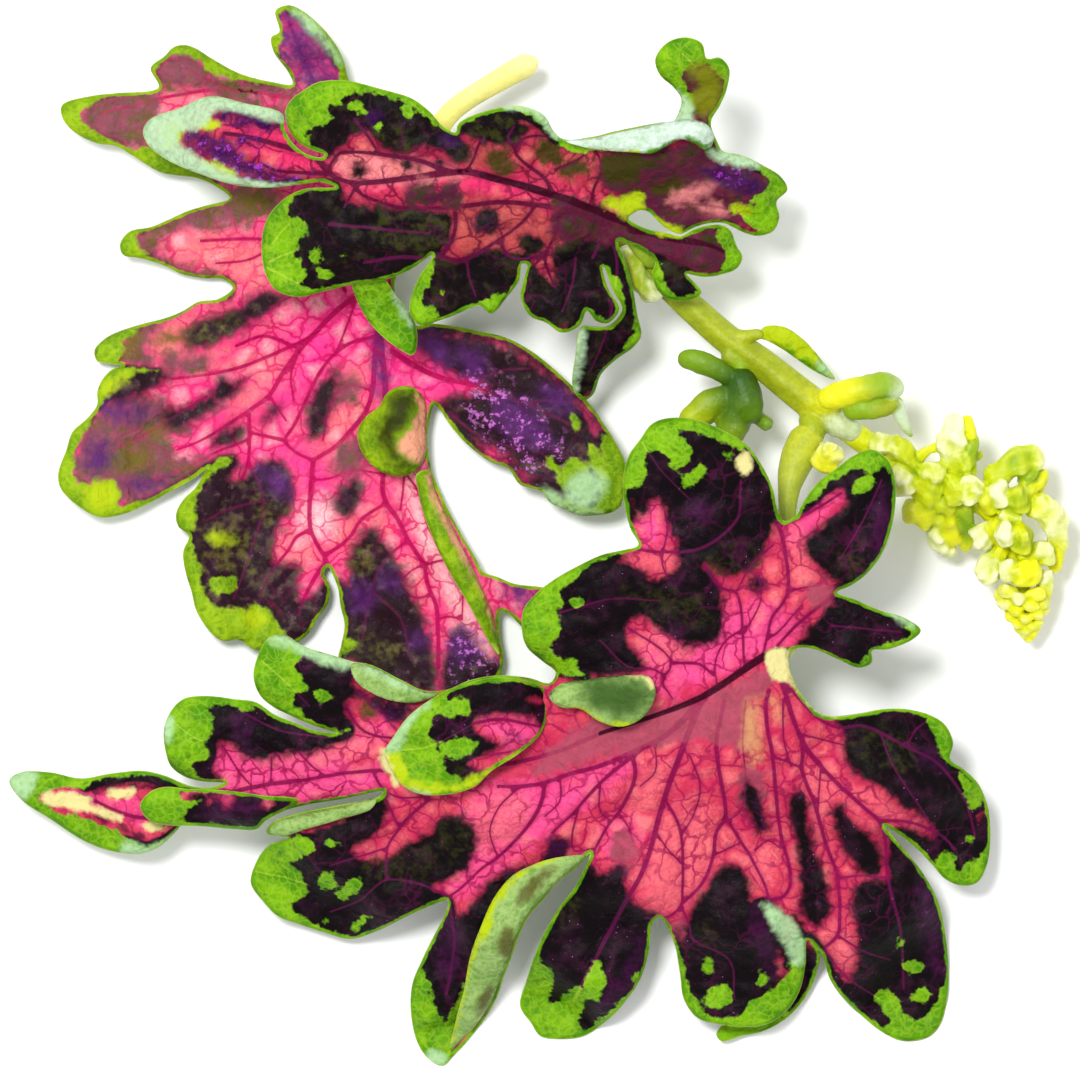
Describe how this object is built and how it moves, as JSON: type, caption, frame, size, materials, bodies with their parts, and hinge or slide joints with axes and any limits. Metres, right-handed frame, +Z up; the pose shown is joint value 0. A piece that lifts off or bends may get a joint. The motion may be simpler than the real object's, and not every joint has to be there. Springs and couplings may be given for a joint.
{
  "type": "cut coleus sprig with leaves and a flower spike",
  "caption": "Cut flowering coleus sprig lying flat: lobed variegated leaves on a squarish stem, with young shoots in its joints and a short spike of buds.",
  "frame": {"origin": "on the surface that the sprig lies on, under the middle of its outline seen from above", "axes": "+Z up from the surface; +X towards the flower spike, +Y towards the top leaf; the leaves' faces look along +Z"},
  "size_m": [0.1056, 0.1062, 0.0237],
  "materials": {
    "green_stem": "smooth waxy green stem skin",
    "pale_stalk": "pale yellow-green young stalk skin",
    "pink_leaf": "soft pink leaf with magenta veins and lime edge",
    "dark_leaf": "dark wine leaf with coral middle and green edge",
    "wine_leaf": "wine and coral leaf with green edge",
    "dark_shoot": "dark green young shoot",
    "lime_bud": "waxy lime-yellow flower bud"
  },
  "bodies": {
    "root": {"stem": "green_stem", "bare_petiole": "pale_stalk", "leaf_left": "pink_leaf", "leaf_top": "dark_leaf", "leaf_bottom": "wine_leaf", "axil_bud": "pale_stalk", "axil_shoot": "dark_shoot", "axil_leaf": "green_stem", "bract": "pale_stalk", "bract_bud": "pale_stalk", "raceme": "lime_bud"}
  },
  "joints": []
}
